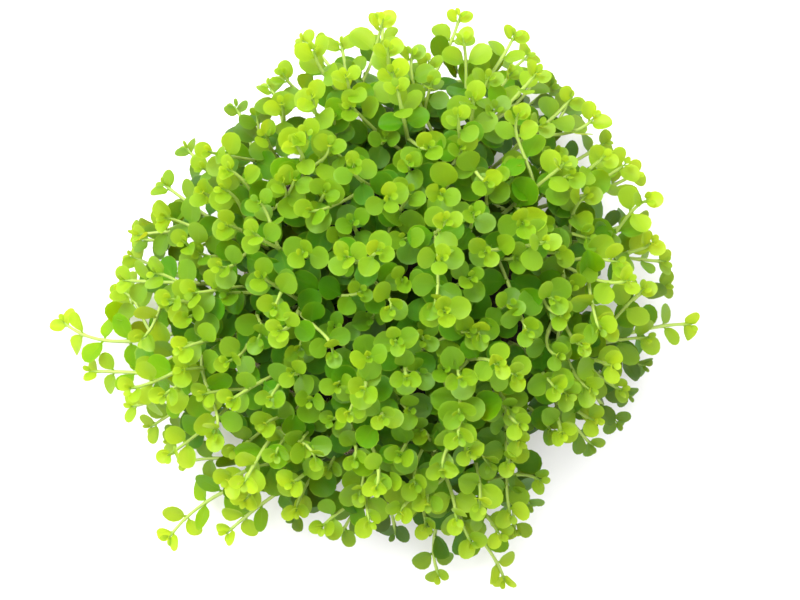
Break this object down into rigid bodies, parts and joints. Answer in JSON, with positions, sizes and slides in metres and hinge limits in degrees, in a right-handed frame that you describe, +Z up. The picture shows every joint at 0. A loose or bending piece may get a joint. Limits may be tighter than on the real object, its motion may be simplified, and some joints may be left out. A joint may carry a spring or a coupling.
{
  "type": "monte carlo carpet plant",
  "caption": "Loose mounded clump of creeping leafy shoots with small round paired leaves, growing from a root pad cut flat underneath to stand on.",
  "frame": {"origin": "middle of the root pad's flat underside, on the surface that the clump stands on", "axes": "+Z up through the crown of the clump, +X along its widest spread"},
  "size_m": [0.1047, 0.093, 0.045],
  "materials": {
    "leafy_shoot": "satin",
    "root_pad": "matte"
  },
  "bodies": {
    "root": {"root_pad": "root_pad", "rim_shoot_01": "leafy_shoot", "rim_shoot_02": "leafy_shoot", "rim_shoot_03": "leafy_shoot", "rim_shoot_04": "leafy_shoot", "rim_shoot_05": "leafy_shoot", "rim_shoot_06": "leafy_shoot", "rim_shoot_07": "leafy_shoot", "rim_shoot_08": "leafy_shoot", "rim_shoot_09": "leafy_shoot", "rim_shoot_10": "leafy_shoot", "rim_shoot_11": "leafy_shoot", "rim_shoot_12": "leafy_shoot", "rim_shoot_13": "leafy_shoot", "rim_shoot_14": "leafy_shoot", "rim_shoot_15": "leafy_shoot", "rim_shoot_16": "leafy_shoot", "rim_shoot_17": "leafy_shoot", "rim_shoot_18": "leafy_shoot", "rim_shoot_19": "leafy_shoot", "rim_shoot_20": "leafy_shoot", "rim_shoot_21": "leafy_shoot", "rim_shoot_22": "leafy_shoot", "rim_shoot_23": "leafy_shoot", "rim_shoot_24": "leafy_shoot", "rim_shoot_25": "leafy_shoot", "rim_shoot_26": "leafy_shoot", "rim_shoot_27": "leafy_shoot", "rim_shoot_28": "leafy_shoot", "rim_shoot_29": "leafy_shoot", "rim_shoot_30": "leafy_shoot", "rim_shoot_31": "leafy_shoot", "rim_shoot_32": "leafy_shoot", "crown_shoot_01": "leafy_shoot", "crown_shoot_02": "leafy_shoot", "crown_shoot_03": "leafy_shoot", "crown_shoot_04": "leafy_shoot", "crown_shoot_05": "leafy_shoot", "crown_shoot_06": "leafy_shoot", "crown_shoot_07": "leafy_shoot", "crown_shoot_08": "leafy_shoot", "crown_shoot_09": "leafy_shoot", "crown_shoot_10": "leafy_shoot", "crown_shoot_11": "leafy_shoot", "crown_shoot_12": "leafy_shoot", "crown_shoot_13": "leafy_shoot", "crown_shoot_14": "leafy_shoot", "crown_shoot_15": "leafy_shoot", "crown_shoot_16": "leafy_shoot", "crown_shoot_17": "leafy_shoot", "crown_shoot_18": "leafy_shoot", "crown_shoot_19": "leafy_shoot", "crown_shoot_20": "leafy_shoot", "crown_shoot_21": "leafy_shoot", "crown_shoot_22": "leafy_shoot", "crown_shoot_23": "leafy_shoot", "crown_shoot_24": "leafy_shoot", "crown_shoot_25": "leafy_shoot", "crown_shoot_26": "leafy_shoot"}
  },
  "joints": []
}
